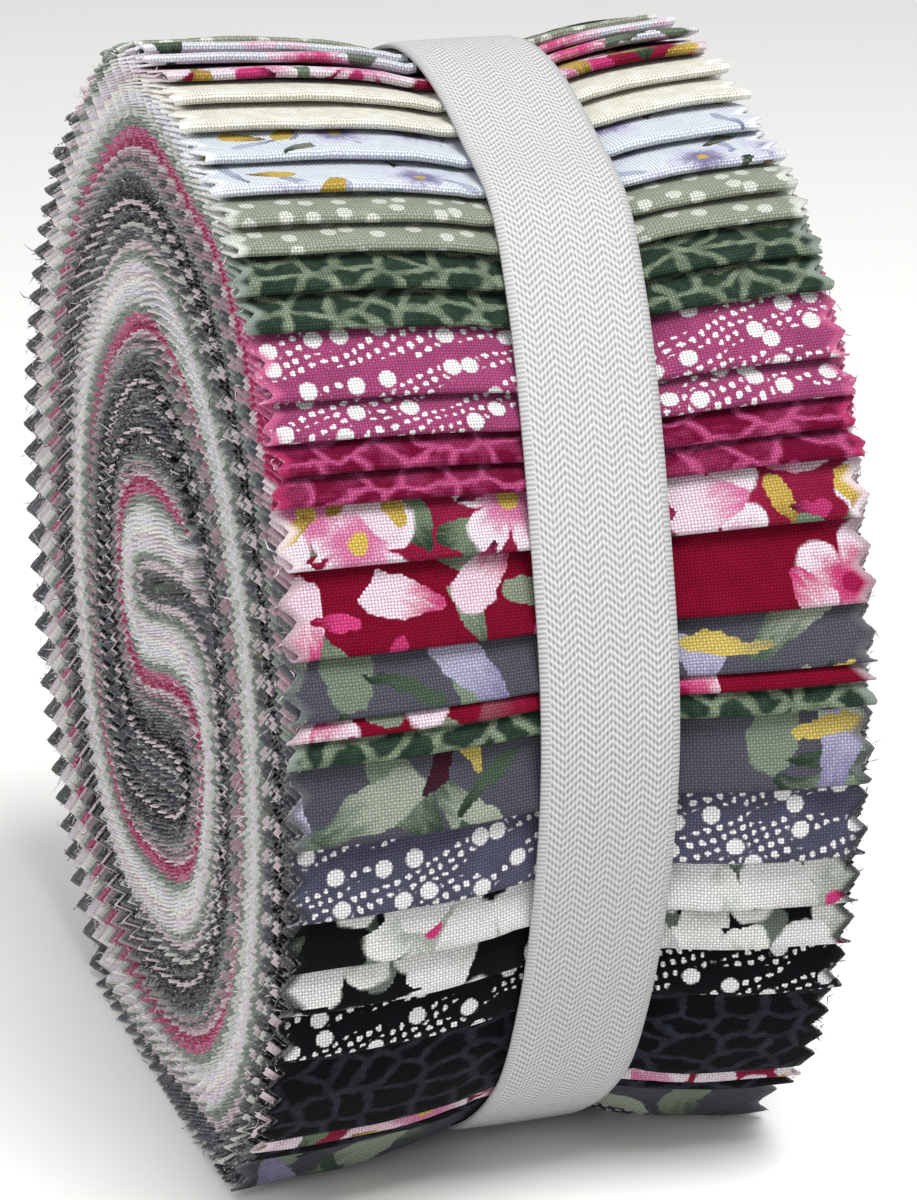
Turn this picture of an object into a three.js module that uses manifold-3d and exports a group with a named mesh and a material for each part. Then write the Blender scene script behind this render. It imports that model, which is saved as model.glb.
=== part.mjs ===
import * as THREE from 'three';
import { mergeVertices } from 'three/addons/utils/BufferGeometryUtils.js';
import Module from 'manifold-3d';

// A roll of quilting strips. Forty strips, each folded in half to half its length, lie in one
// thick stack that is wound two turns round an S-shaped core. The folded ends lap down the front
// like shingles, and a woven tape is drawn tight round the middle. Lengths are in millimetres.
// The roll lies on its rim: its winding axis runs along X, its front looks along -Y, +Z is up.
// Angles round the section are in degrees, from the front upwards, and keep counting up as a
// strip is followed inwards from its folded end.

const STRIP_WIDTH = 63.5; // 2.5 inches, the roll's size along X
const STRIP_COUNT = 40;
const STRIP_THICKNESS = 0.5; // both layers of a folded strip, wound tight
const PRESSED_THICKNESS = 0.36; // the same at the bottom, under the roll's own weight
const PRESSED_STRIPS = 20; // the weight presses this many strips
const FOLD_LIFT = 3.1; // how far the folded ends stand off the tight winding below them
const BACK_LIFT = 0.4; // the same round the back, where the outermost strip runs smooth
const LIFT_STRIPS = 4; // the lift dies away over about this many strips
const ROUNDED_STRIPS = 26; // below this many strips the outline's bumps have gone
const BRIDGED_STRIPS = [3, 20]; // between these depths the cloth comes to bridge steps below it
const BRIDGE_REACH = 28; // degrees to each side
const FLAT_DROP = 58.2; // from the centre of the winding down to the flat that the roll rests on
const PRESS_DEPTH = 1.7; // folded ends that would lie this near the floor are pressed flat on it
const PRESS_FADE = 5.5; // cloth higher than this above the floor isn't moved by that
const FOLD_DROP_ANGLE = 0.5; // a folded end drops to the next strip within this angle
const BARE_STEP = 6; // angle between outline points where one strip runs on

const TAPE_WIDTH = 15;
const TAPE_THICKNESS = 1;
const TAPE_GAP = 0.35; // between the tape and the cloth under it
const TAPE_LAP = [168, 192]; // angles where the tape's two ends lie over each other, at the back
const TAPE_STEPS = 90;
const TAPE_ASIDE = 2.8;
const TAPE_LEAN = 3.2;
const CINCH_DEPTH = 2.8; // how far the tape draws the roll in
const CINCH_REACH = 8.5; // the waist opens out again over about this distance
const CINCH_MARGIN = 0.7; // the waist's floor runs on past the tape's edges by this
const LAP_UNDER_TAPE = 0.4; // share of a folded end's height that is left under the tape

const GROOVE_WIDTH = 3; // groove that parts one turn of the stack from the next
const GROOVE_DEPTH = 2;
const GROOVE_START = -60;
const GROOVE_END = 600;
const GROOVE_STEP = 7;
const CORE_GROOVE_PIECES = 44;

// The roll isn't quite round: distance from the centre of the winding to the folded ends.
const OUTLINE = [
  { angle: 0, radius: 59.4 },
  { angle: 15, radius: 59.2 },
  { angle: 30, radius: 60.0 },
  { angle: 45, radius: 61.8 },
  { angle: 56, radius: 63.2 },
  { angle: 68, radius: 61.8 },
  { angle: 90, radius: 63.2 },
  { angle: 105, radius: 61.6 },
  { angle: 125, radius: 59.0 },
  { angle: 150, radius: 58.6 },
  { angle: 175, radius: 60.0 },
  { angle: 192, radius: 60.2 },
  { angle: 208, radius: 62.0 },
  { angle: 228, radius: 64.2 },
  { angle: 242, radius: 64.6 },
  { angle: 314, radius: 63.8 },
  { angle: 328, radius: 61.7 },
  { angle: 342, radius: 60.0 },
];

// The outline that the inner turns have, without the outer one's bumps and its flat.
const INNER_OUTLINE = [
  { angle: 0, radius: 59.5 },
  { angle: 45, radius: 61.5 },
  { angle: 90, radius: 62.5 },
  { angle: 135, radius: 60.0 },
  { angle: 180, radius: 59.8 },
  { angle: 225, radius: 62.5 },
  { angle: 270, radius: 61.5 },
  { angle: 315, radius: 62.0 },
];

// Where each strip's folded end lies, from the outermost strip to the innermost.
const FOLDS = [
  { cloth: 'slate_leaf', angle: 131 },
  { cloth: 'slate_leaf', angle: 123 },
  { cloth: 'blush_floral', angle: 116 },
  { cloth: 'blush_floral', angle: 109.5 },
  { cloth: 'green_crackle', angle: 103.8 },
  { cloth: 'green_crackle', angle: 98.5 },
  { cloth: 'sage_dots', angle: 94 },
  { cloth: 'lilac_floral', angle: 89.5 },
  { cloth: 'lilac_floral', angle: 85.5 },
  { cloth: 'blush_floral', angle: 81 },
  { cloth: 'cream', angle: 76 },
  { cloth: 'cream', angle: 70.9 },
  { cloth: 'blue_floral', angle: 65.2 },
  { cloth: 'blue_floral', angle: 59.3 },
  { cloth: 'sage_dots', angle: 55.1 },
  { cloth: 'sage_dots', angle: 51.8 },
  { cloth: 'green_crackle', angle: 47.8 },
  { cloth: 'green_crackle', angle: 43.9 },
  { cloth: 'pink_dots', angle: 37.1 },
  { cloth: 'pink_dots', angle: 33.2 },
  { cloth: 'crimson', angle: 30 },
  { cloth: 'crimson', angle: 27 },
  { cloth: 'blush_floral', angle: 21 },
  { cloth: 'tulip_floral', angle: 12.4 },
  { cloth: 'slate_leaf', angle: 6.3 },
  { cloth: 'tulip_floral', angle: 4.4 },
  { cloth: 'green_crackle', angle: 1.8 },
  { cloth: 'slate_leaf', angle: -6.6 },
  { cloth: 'slate_dots', angle: -15 },
  { cloth: 'black_floral', angle: -20.9 },
  { cloth: 'black_floral', angle: -26.1 },
  { cloth: 'black_dots', angle: -32.4 },
  { cloth: 'black_crackle', angle: -45.9 },
  { cloth: 'blush_floral', angle: -48.6 },
  { cloth: 'black_crackle', angle: -51.2 },
  { cloth: 'slate_leaf', angle: -60 },
  { cloth: 'slate_dots', angle: -67 },
  { cloth: 'black_dots', angle: -74 },
  { cloth: 'sage_dots', angle: -81 },
  { cloth: 'slate_leaf', angle: -88 },
];

// The S that the stack makes at the core, along the middle of the stack, seen from the end at -X.
const CORE = [
  { across: 3.5, up: -29.8 },
  { across: 12, up: -27.6 },
  { across: 18, up: -23.8 },
  { across: 22.9, up: -13.2 },
  { across: 20.5, up: -7 },
  { across: 12.5, up: -5.9 },
  { across: -0.5, up: -9.1 },
  { across: -10.6, up: -7.2 },
  { across: -13.8, up: 3 },
  { across: -7, up: 12.3 },
  { across: 5.5, up: 15 },
  { across: 17, up: 14.1 },
];

const radians = THREE.MathUtils.degToRad;
const smooth = THREE.MathUtils.smoothstep;

/** The part of a turn that an angle stands for, from 0 up to 360. */
const withinTurn = (angle) => THREE.MathUtils.euclideanModulo(angle, 360);

/** A radius that runs smoothly round through a table's angles and radii. */
function radiusThrough(table, angle) {
  const turn = withinTurn(angle);
  const count = table.length;
  const next = table.findIndex((row) => row.angle > turn);
  const at = (next < 0 ? count : next) - 1;
  const row = (i) => {
    const { angle: a, radius } = table[(i + count) % count];
    return { a: a + 360 * Math.floor(i / count), radius };
  };
  const [p0, p1, p2, p3] = [at - 1, at, at + 1, at + 2].map(row);
  const span = p2.a - p1.a;
  const t = (turn - p1.a) / span;
  const leave = ((p2.radius - p0.radius) / (p2.a - p0.a)) * span;
  const arrive = ((p3.radius - p1.radius) / (p3.a - p1.a)) * span;
  return (2 * t ** 3 - 3 * t ** 2 + 1) * p1.radius + (t ** 3 - 2 * t ** 2 + t) * leave
    + (3 * t ** 2 - 2 * t ** 3) * p2.radius + (t ** 3 - t ** 2) * arrive;
}

/** Distance from the centre of the winding to the folded ends, with the flat at the bottom. */
function crestRadius(angle) {
  const radius = radiusThrough(OUTLINE, angle);
  const down = -Math.sin(radians(angle));
  return down > 0.5 ? Math.min(radius, FLAT_DROP / down) : radius;
}

/** How many strips reach this angle, counting a strip in as its folded end comes near. */
function stripsAt(angle) {
  const ends = [FOLDS[0].angle - 360, ...FOLDS.map((fold) => fold.angle).reverse()];
  if (angle <= ends[0]) return 0;
  const past = ends.filter((end) => end <= angle).length - 1;
  if (past === STRIP_COUNT) return STRIP_COUNT;
  return past + (angle - ends[past]) / (ends[past + 1] - ends[past]);
}

const turnsOver = (place, angle) => (
  place - STRIP_COUNT + stripsAt(angle) + stripsAt(angle - 360) + stripsAt(angle - 720)
);

/** How many strips lie over this place in the stack; steps of close folds are bridged below. */
function stripsOver(place, angle) {
  const sharp = turnsOver(place, angle);
  const aside = [-1, -0.75, -0.5, -0.25, 0, 0.25, 0.5, 0.75, 1];
  const counts = aside.map((share) => turnsOver(place, angle + share * BRIDGE_REACH));
  const bridged = counts.reduce((sum, count) => sum + count, 0) / counts.length;
  return THREE.MathUtils.lerp(sharp, bridged, smooth(sharp, ...BRIDGED_STRIPS));
}

/** Distance from the centre of the winding to a surface that this many strips lie over. */
function woundRadius(over, angle) {
  const turn = withinTurn(angle + 180) - 180;
  const front = smooth(turn, -130, -80) * (1 - smooth(turn, 100, 150));
  const lift = THREE.MathUtils.lerp(BACK_LIFT, FOLD_LIFT, front);
  const loaded = smooth(-Math.sin(radians(turn)), 0.3, 1);
  const thickness = THREE.MathUtils.lerp(STRIP_THICKNESS, PRESSED_THICKNESS, loaded);
  const pressed = Math.min(over, PRESSED_STRIPS);
  const packed = thickness * pressed + STRIP_THICKNESS * (over - pressed);
  const rounded = smooth(over, 2, ROUNDED_STRIPS);
  const inner = radiusThrough(INNER_OUTLINE, angle);
  const outline = THREE.MathUtils.lerp(crestRadius(angle), inner, rounded);
  return outline - lift * (1 - Math.exp(-over / LIFT_STRIPS)) - packed;
}

/** A point of the section, from the centre of the winding, as (y, z). */
function sectionPoint(angle, radius) {
  return new THREE.Vector2(-Math.cos(radians(angle)) * radius, Math.sin(radians(angle)) * radius);
}

/** The angles round the roll, from the outermost folded end down the front and up the back. */
function outlineStations() {
  const stations = [];
  FOLDS.forEach((fold, i) => {
    const next = i + 1 < STRIP_COUNT ? FOLDS[i + 1].angle : FOLDS[0].angle - 360;
    stations.push({ angle: fold.angle, over: 0 });
    const start = fold.angle - FOLD_DROP_ANGLE;
    const pieces = Math.max(1, Math.round((start - next) / BARE_STEP));
    for (let step = 0; step < pieces; step += 1) {
      const share = step / pieces;
      stations.push({ angle: THREE.MathUtils.lerp(start, next, share), over: 1 - share });
    }
  });
  return stations.reverse();
}

/** The tape's centre along X: right of the middle, and further right where it crosses the top. */
function tapeCentre(angle) {
  const turn = withinTurn(angle + 180) - 180;
  return TAPE_ASIDE + TAPE_LEAN * smooth(turn, 15, 80) * (1 - smooth(turn, 95, 170));
}

/** How far the tape draws the roll in at this distance from the tape's edge. */
const cinchDepth = (distance) => CINCH_DEPTH * Math.exp(-distance / CINCH_REACH);

/** Places along X where the rolled surface has a ring of points, with their distance to the tape. */
function ringsAlongX(angle) {
  const half = STRIP_WIDTH / 2;
  const shares = [0, 0.32, 0.58, 0.78, 0.92, 1];
  const reach = TAPE_WIDTH / 2 + CINCH_MARGIN;
  const left = tapeCentre(angle) - reach;
  const right = tapeCentre(angle) + reach;
  const rings = shares.map((share) => {
    const x = THREE.MathUtils.lerp(-half, left, share);
    return { x, distance: left - x };
  });
  [...shares].reverse().forEach((share) => {
    const x = THREE.MathUtils.lerp(half, right, share);
    rings.push({ x, distance: x - right });
  });
  return rings;
}

/** A height above the floor once the roll's weight has pressed the cloth there by up to depth. */
function pressedHeight(height, depth) {
  return Math.max(0, height - depth * (1 - smooth(height, PRESS_DEPTH, PRESS_FADE)));
}

/** A point of the roll's outer surface. */
function surfacePoint(station, ring) {
  const nearTape = cinchDepth(ring.distance) / CINCH_DEPTH;
  const over = station.over * THREE.MathUtils.lerp(1, LAP_UNDER_TAPE, nearTape);
  const radius = woundRadius(over, station.angle) - cinchDepth(ring.distance);
  const point = sectionPoint(station.angle, radius);
  const height = pressedHeight(point.y + FLAT_DROP, PRESS_DEPTH * (1 - nearTape));
  return [ring.x, point.x, height - FLAT_DROP];
}

/** A closed mesh from rings of points, capped at both ends by the caps' triangles. */
function closedMesh(rings, caps) {
  const count = rings[0].length;
  const indices = [];
  for (let ring = 0; ring + 1 < rings.length; ring += 1) {
    for (let i = 0; i < count; i += 1) {
      const a = ring * count + i;
      const b = ring * count + ((i + 1) % count);
      indices.push(a, b, b + count, a, b + count, a + count);
    }
  }
  const last = (rings.length - 1) * count;
  caps.forEach(([a, b, c]) => {
    indices.push(a, c, b, last + a, last + b, last + c);
  });
  return meshFrom(rings.flat(2), indices);
}

function meshFrom(positions, indices) {
  const geometry = new THREE.BufferGeometry();
  geometry.setAttribute('position', new THREE.Float32BufferAttribute(positions, 3));
  geometry.setIndex(indices);
  return geometry;
}

/** The wound stack before its ends are grooved. */
function rollBody() {
  const stations = outlineStations();
  const columns = stations.map((station) => (
    ringsAlongX(station.angle).map((ring) => surfacePoint(station, ring))
  ));
  const rings = columns[0].map((_, i) => columns.map((column) => column[i]));
  return closedMesh(rings, triangulated(rings[0].map(([, y, z]) => new THREE.Vector2(y, z))));
}

/** Triangles that fill an outline, each running round the same way as the outline. */
function triangulated(outline) {
  const { area, triangulateShape } = THREE.ShapeUtils;
  const sense = Math.sign(area(outline));
  return triangulateShape(outline, []).map((triangle) => {
    const same = Math.sign(area(triangle.map((i) => outline[i]))) === sense;
    return same ? triangle : triangle.reverse();
  });
}

/** The line along which one turn of the stack lies on the next, as seen on the roll's ends. */
function turnBoundary() {
  const points = [];
  const innerFace = STRIP_COUNT - 0.5;
  for (let angle = GROOVE_START; angle <= GROOVE_END; angle += GROOVE_STEP) {
    points.push(sectionPoint(angle, woundRadius(stripsOver(innerFace, angle), angle)));
  }
  return points;
}

/** The S at the core, along the middle of the stack. */
function coreLine() {
  const through = CORE.map((row) => new THREE.Vector2(-row.across, row.up));
  return new THREE.SplineCurve(through).getSpacedPoints(CORE_GROOVE_PIECES);
}

/** A solid that cuts a V groove along a line on one end of the roll; side is -1 or 1. */
function grooveCutter(line, side) {
  const lip = 1;
  const face = side * (STRIP_WIDTH / 2);
  const half = (GROOVE_WIDTH / 2) * (1 + lip / GROOVE_DEPTH);
  const rings = line.map((point, i) => {
    const before = line[Math.max(i - 1, 0)];
    const after = line[Math.min(i + 1, line.length - 1)];
    const along = after.clone().sub(before).normalize();
    const across = new THREE.Vector2(-along.y, along.x).multiplyScalar(half);
    const corners = [
      [face + side * lip, point.x + across.x, point.y + across.y],
      [face + side * lip, point.x - across.x, point.y - across.y],
      [face - side * GROOVE_DEPTH, point.x, point.y],
    ];
    return side > 0 ? corners : corners.reverse();
  });
  return closedMesh(rings, [[0, 1, 2]]);
}

/** The tape: one closed band that follows the waist, doubled where its ends lap at the back. */
function tapeGeometry() {
  const sections = [];
  const edges = new Set(TAPE_LAP.flatMap((angle) => [angle - 0.4, angle + 0.4]));
  for (let i = 0; i < TAPE_STEPS; i += 1) edges.add((i * 360) / TAPE_STEPS);
  [...edges].sort((a, b) => a - b).forEach((angle) => {
    const layers = angle > TAPE_LAP[0] && angle < TAPE_LAP[1] ? 2 : 1;
    const inner = crestRadius(angle) - CINCH_DEPTH + TAPE_GAP;
    const outer = inner + TAPE_THICKNESS * layers;
    const left = tapeCentre(angle) - TAPE_WIDTH / 2;
    const right = left + TAPE_WIDTH;
    const low = sectionPoint(angle, inner);
    const high = sectionPoint(angle, outer);
    sections.push([
      [left, low.x, low.y],
      [left, high.x, high.y],
      [right, high.x, high.y],
      [right, low.x, low.y],
    ]);
  });
  const indices = [];
  sections.forEach((_, i) => {
    const here = 4 * i;
    const there = 4 * ((i + 1) % sections.length);
    for (let corner = 0; corner < 4; corner += 1) {
      const next = (corner + 1) % 4;
      indices.push(here + corner, here + next, there + next);
      indices.push(here + corner, there + next, there + corner);
    }
  });
  return meshFrom(sections.flat(2), indices);
}

/** The volume that a closed mesh holds, negative where its faces point inwards. */
function signedVolume(geometry) {
  const [a, b, c] = [new THREE.Vector3(), new THREE.Vector3(), new THREE.Vector3()];
  const position = geometry.getAttribute('position');
  const index = geometry.getIndex();
  let volume = 0;
  for (let i = 0; i < index.count; i += 3) {
    [a, b, c].forEach((corner, j) => corner.fromBufferAttribute(position, index.getX(i + j)));
    volume += a.dot(b.cross(c)) / 6;
  }
  return volume;
}

/** The same mesh with its faces pointing out. */
function facingOut(geometry) {
  if (signedVolume(geometry) < 0) {
    const index = geometry.getIndex();
    for (let i = 0; i < index.count; i += 3) {
      const second = index.getX(i + 1);
      index.setX(i + 1, index.getX(i + 2));
      index.setX(i + 2, second);
    }
  }
  return geometry;
}

const wasm = await Module();
wasm.setup();

function toSolid(geometry) {
  const merged = mergeVertices(facingOut(geometry), 1e-5);
  return new wasm.Manifold(new wasm.Mesh({
    numProp: 3,
    vertProperties: new Float32Array(merged.getAttribute('position').array),
    triVerts: new Uint32Array(merged.getIndex().array),
  }));
}

function toGeometry(solid) {
  const mesh = solid.getMesh();
  return meshFrom(Array.from(mesh.vertProperties), Array.from(mesh.triVerts));
}

/** The wound stack with the grooves that show its turns and its core on both ends. */
function rollGeometry() {
  let solid = toSolid(rollBody());
  [-1, 1].forEach((side) => {
    [turnBoundary(), coreLine()].forEach((line) => {
      solid = solid.subtract(toSolid(grooveCutter(line, side)));
    });
  });
  return toGeometry(solid);
}

const clothMaterial = new THREE.MeshStandardMaterial({ color: 0x9c9499, roughness: 0.9 });
const tapeMaterial = new THREE.MeshStandardMaterial({ color: 0xe6e3dd, roughness: 0.85 });

const roll = new THREE.Mesh(rollGeometry(), clothMaterial);
roll.name = 'roll';
roll.userData.strips = FOLDS.map((fold) => fold.cloth);

const tape = new THREE.Mesh(facingOut(tapeGeometry()), tapeMaterial);
tape.name = 'tape';

// The origin is the middle of the roll's bounding box, at the flat that it rests on.
const winding = new THREE.Group();
winding.add(roll, tape);
const bounds = new THREE.Box3().setFromObject(winding);
const middle = bounds.getCenter(new THREE.Vector3());
winding.position.set(-middle.x, -middle.y, -bounds.min.z);

const part = new THREE.Group();
part.add(winding);

export default part;
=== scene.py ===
"""Dresses a wound roll of quilting strips: forty folded cotton strips and the tape round them."""

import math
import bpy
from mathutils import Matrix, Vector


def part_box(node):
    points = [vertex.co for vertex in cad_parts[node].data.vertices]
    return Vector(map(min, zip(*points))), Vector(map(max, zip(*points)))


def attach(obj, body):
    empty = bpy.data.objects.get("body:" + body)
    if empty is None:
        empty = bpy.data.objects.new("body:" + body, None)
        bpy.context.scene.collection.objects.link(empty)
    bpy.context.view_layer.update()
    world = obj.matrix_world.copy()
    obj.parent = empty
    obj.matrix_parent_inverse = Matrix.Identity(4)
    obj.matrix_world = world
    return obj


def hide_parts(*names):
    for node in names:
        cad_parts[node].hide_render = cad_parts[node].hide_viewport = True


bl_info = {
    "name": "Quilting strip roll",
    "version": (1, 0, 0),
    "blender": (4, 5, 0),
    "location": "3D View > Sidebar > Strip Roll",
    "description": "Winds folded cotton strips into a roll and ties a woven tape round it",
    "category": "Object",
}

import bpy
import numpy as np
from mathutils import Vector

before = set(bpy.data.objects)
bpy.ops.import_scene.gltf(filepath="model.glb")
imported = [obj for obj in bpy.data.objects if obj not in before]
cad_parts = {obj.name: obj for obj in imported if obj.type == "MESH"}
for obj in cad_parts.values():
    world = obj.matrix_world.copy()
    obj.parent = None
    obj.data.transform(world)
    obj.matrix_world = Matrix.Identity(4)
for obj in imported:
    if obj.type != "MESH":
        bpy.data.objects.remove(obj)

MM = 0.001
TURN = 2 * math.pi

# The roll isn't quite round: distance from the centre of the winding to the folded ends, in mm,
# by the angle from the front upwards, in degrees.
OUTLINE = (
    (0, 59.4),
    (15, 59.2),
    (30, 60.0),
    (45, 61.8),
    (56, 63.2),
    (68, 61.8),
    (90, 63.2),
    (105, 61.6),
    (125, 59.0),
    (150, 58.6),
    (175, 60.0),
    (192, 60.2),
    (208, 62.0),
    (228, 64.2),
    (242, 64.6),
    (314, 63.8),
    (328, 61.7),
    (342, 60.0),
)

# Where each strip's folded end lies, from the outermost strip to the innermost: cloth, angle in
# degrees, and how far along its print and across it the fold falls, in mm.
FOLDS = (
    ("slate_leaf", 131, 40, 0),
    ("slate_leaf", 123, 12, 5),
    ("blush_floral", 116, 31, 0),
    ("blush_floral", 109.5, 55, 9),
    ("green_crackle", 103.8, 8, 0),
    ("green_crackle", 98.5, 47, 3),
    ("sage_dots", 94, 21, 0),
    ("lilac_floral", 89.5, 3, 0),
    ("lilac_floral", 85.5, 64, 7),
    ("blush_floral", 81, 18, 4),
    ("cream", 76, 0, 0),
    ("cream", 70.9, 35, 0),
    ("blue_floral", 65.2, 9, 2),
    ("blue_floral", 59.3, 29, 11),
    ("sage_dots", 55.1, 5, 0),
    ("sage_dots", 51.8, 42, 3),
    ("green_crackle", 47.8, 17, 0),
    ("green_crackle", 43.9, 71, 6),
    ("pink_dots", 37.1, 0, 0),
    ("pink_dots", 33.2, 36, 4),
    ("crimson", 30, 11, 0),
    ("crimson", 27, 52, 8),
    ("blush_floral", 21, 7, 3),
    ("tulip_floral", 12.4, 25, 6),
    ("slate_leaf", 6.3, 15, 0),
    ("tulip_floral", 4.4, 60, 0),
    ("green_crackle", 1.8, 33, 2),
    ("slate_leaf", -6.6, 78, 9),
    ("slate_dots", -15, 4, 0),
    ("black_floral", -20.9, 22, 3),
    ("black_floral", -26.1, 49, 0),
    ("black_dots", -32.4, 13, 5),
    ("black_crackle", -45.9, 0, 0),
    ("blush_floral", -48.6, 66, 1),
    ("black_crackle", -51.2, 28, 4),
    ("slate_leaf", -60, 90, 2),
    ("slate_dots", -67, 51, 6),
    ("black_dots", -74, 37, 0),
    ("sage_dots", -81, 19, 2),
    ("slate_leaf", -88, 70, 5),
)
STRIP_COUNT = len(FOLDS)
FOLD_ANGLES = np.array([row[1] for row in FOLDS], float)

# The outline that the inner turns have, without the outer one's bumps and its flat.
INNER_OUTLINE = (
    (0, 59.5),
    (45, 61.5),
    (90, 62.5),
    (135, 60.0),
    (180, 59.8),
    (225, 62.5),
    (270, 61.5),
    (315, 62.0),
)

# The S that the stack makes at the core, in mm, as the place towards the front and the height from
# the centre of the winding: of the outermost strip, of the middle one and of the innermost.
CORE = (
    ((4.5, -39.8), (3.5, -29.8), (2.5, -20)),
    ((16, -36), (12, -27.6), (8, -19.2)),
    ((23.5, -29.5), (18, -23.8), (11.5, -18.6)),
    ((27.8, -21), (21.1, -18.6), (13.1, -17.9)),
    ((29.4, -12), (22.9, -13.2), (13.3, -17.5)),
    ((29.2, -4.5), (22.3, -8.8), (12.3, -17.4)),
    ((27, 1.5), (18.7, -6), (9.5, -17.7)),
    ((22.3, 4.6), (12.5, -5.9), (5, -18.5)),
    ((15.5, 4.8), (5.5, -7.3), (-1, -19.9)),
    ((8.5, 3.4), (-0.5, -9.1), (-7.5, -20.4)),
    ((2.2, 1.6), (-6, -9.6), (-13.8, -18.2)),
    ((-2.2, 0.7), (-10.6, -7.2), (-18, -12.5)),
    ((-4.2, 1.1), (-13.1, -2.7), (-19.7, -4.5)),
    ((-4.2, 2.1), (-13.8, 3), (-19.4, 4.2)),
    ((-2.2, 2.9), (-11.8, 8.6), (-17, 12)),
    ((2, 4), (-7, 12.3), (-11.8, 18)),
    ((8, 5.2), (-1, 14.2), (-4.7, 22.1)),
    ((14, 6.3), (5.5, 15), (3.5, 24)),
    ((20, 6.8), (12, 14.9), (11.5, 23.2)),
    ((26, 5.5), (18.5, 13.7), (18.5, 20.2)),
    ((30, 3), (24, 11), (24, 15.5)),
)
CORE_START = 612  # the winding angle at which the stack leaves its last turn for the S
CORE_LEAD = 15  # degrees of the last turn that set how it leaves
MIDDLE_STRIP = 20

# How the stack packs, in mm, or in strips counted from the surface inwards.
STRIP_THICKNESS = 0.5
PRESSED_THICKNESS = 0.36  # under the roll's own weight
PRESSED_STRIPS = 20
ROUNDED_STRIPS = 26  # by this depth a turn has the inner outline
BRIDGED = range(-28, 29, 7)  # degrees to either side over which steps are averaged
BRIDGED_DEPTHS = (3, 20)  # steps are sharp above the first depth, and averaged below the second
SPRUNG_ZONE = (-130, -80, 100, 150)  # the front, in degrees, as zone() takes it
LOADED_FROM = 0.3  # the weight is felt where the sine of the angle below the centre is more
FLAT_FROM = 0.5  # the floor may cut the outline where that sine is more
FOLD_LIFT = 3.1  # how far the folds spring up on the front, in all
BACK_LIFT = 0.4
FOLD_RISE = 0.32  # a fold's own spring, over its last few mm
FOLD_REACH = 1.7
LIFT_STRIPS = 4
FLAT_DROP = 58.2  # from the centre of the winding down to the floor
PRESS_DEPTH = 1.7
PRESS_FADE = 5.5
LEAST_HEIGHT = 0.12  # of the undermost strip over the floor
LEAST_STEP = 0.16  # more than that for each of the next few strips
LEAST_STRIPS = 4

TAPE_WIDTH = 15
TAPE_GAP = 0.35
TAPE_LAP = (168, 192)  # degrees, at the back
TAPE_LAP_RISE = 1.08  # how far the upper end lies over the under end, in tape thicknesses
TAPE_ASIDE = 2.8
TAPE_LEAN = 3.2
TAPE_LEAN_ZONE = (15, 80, 95, 170)  # degrees, as zone() takes it
TAPE_CROWN = 0.12  # how far its middle stands out beyond its edges
TAPE_EDGE = 0.8  # the tape thins out over this much of each edge
TAPE_THINNEST = 0.35  # of its thickness
TAPE_CLIMB = 10  # degrees in which the upper end climbs over the under end
TAPE_COLUMNS = 17
TAPE_STEP = 0.7  # degrees
SELVEDGE = 0.9
CINCH_DEPTH = 2.8
CINCH_REACH = 8.5
CINCH_MARGIN = 0.7
CINCH_STRIPS = 14  # the tape's pull dies away over about this many strips

CLOTH_THICKNESS = 0.21
HALF_WIDTH = 31.75
HALF_LENGTH = 565.2  # of a strip, from its fold to its cut ends
LAYER_DEPTHS = (0.24, 0.76)  # of a strip's outer and inner layer below its surface, in strips
DENSE_STEP = 0.5  # degrees round the turns, and mm along the S
TOOTH_WEAR = 0.7  # 0 is a sharp tooth, 1 a fully rounded one
TOOTH_WANDER = 0.25  # how far along the edge teeth that lie on each other miss, in two parts
TOOTH_SLIP = 0.1
FINE_ROWS = 3  # rows of points to half a tooth where a strip shows
FINE_COLUMNS = 44
SOFT_COLUMNS = 12
SHOWN_DEPTHS = (1.15, 0.35)  # an outer and an inner layer show to this depth, in strips
INNER_EDGE = 29.4  # columns of points stop here, and the next one is the pinked edge
END_GAPS = (0.7, 0.5)  # no tooth is nearer than this to the fold and to the cut end
HAIRPIN_ROWS = 7
HAIRPIN_REACH = 1.25  # how far a fold stands out, in halves of its thickness

# Waves of the cloth where it shows, each as height in mm, radians for each mm across the cloth, and
# radians from one strip to the next.
CREASES = ((0.10, 0.21, 1.9), (0.07, 0.53, 4.1))
GATHERS = (0.12, 1.6, 2.7)
GATHER_REACH = 4
CREASE_FADE = 0.8  # for each strip over it
BELLY = 0.30

# How strips stand out at the ends of the roll. The shifts are waves from strip to strip, each as
# height in mm, radians from one strip to the next, and start. The first and last strips are recessed.
END_SHIFTS = ((0.16, 12.9, 1.3), (0.2, 0.7, 0.0))
END_WANDER = 0.3
END_RECESS = 0.7
RECESS_STRIPS = 1.5

# Waves that make up a wandering value, each as radians for each radian round the roll, and radians
# from one strip to the next.
WANDER_WAVES = ((0.9, 0.55), (1.9, 0.9), (3.1, 1.7), (5.3, 0.37))

BARE_SHARE = 0.35  # of the fibres show undyed cotton
BARE_TONES = (0.2, 0.9)
FIBRE_ROOT = 0.15  # mm from the edge into the cloth
FIBRE_FLOOR = 0.0001  # m

# A fibre's faces, over its root, three points round its middle and its tip.
SPINDLE = np.array([(0, 2, 1), (0, 3, 2), (0, 1, 3), (4, 1, 2), (4, 2, 3), (4, 3, 1)])
SPINDLE_POINTS = 5

CAMERA_PLACE = (-131.35, -416.20, 140.04)  # mm, from the centre of the winding
SENSOR_WIDTH = 36  # mm
FLOOR_HALF = 3.0  # m
WORLD_STRENGTH = 0.6

# Each light's place from the centre of the winding and its width in m, and its power in W.
LIGHTS = {
    "key_light": ((0.12, -0.42, 0.85), 0.45, 11.0),
    "fill_light": ((-0.9, -0.5, 0.45), 0.9, 5.0),
}


def linear(red, green, blue):
    """A colour given as on a screen, 0 to 255, in the linear values that shaders use."""
    return tuple((c / 255) ** 2.2 for c in (red, green, blue))


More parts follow.
